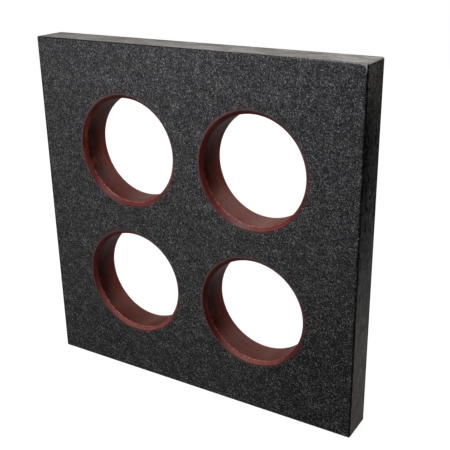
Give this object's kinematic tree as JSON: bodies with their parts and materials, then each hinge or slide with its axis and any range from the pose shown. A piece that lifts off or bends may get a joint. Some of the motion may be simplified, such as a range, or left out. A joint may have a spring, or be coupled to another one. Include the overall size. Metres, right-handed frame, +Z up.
{
  "type": "granite square",
  "caption": "Square plate of black granite with large round chamfered holes, stood on edge to check that machine slides and tables are square, straight and parallel.",
  "frame": {"origin": "middle of the bottom face, so the square stands on Z = 0", "axes": "+Z up the square, +Y through its thickness towards the back, +X to the right as seen from the front"},
  "size_m": [0.5, 0.05, 0.5],
  "materials": {
    "granite": "satin",
    "hole_paint": "satin"
  },
  "bodies": {
    "root": {"granite_square": "granite"}
  },
  "joints": []
}
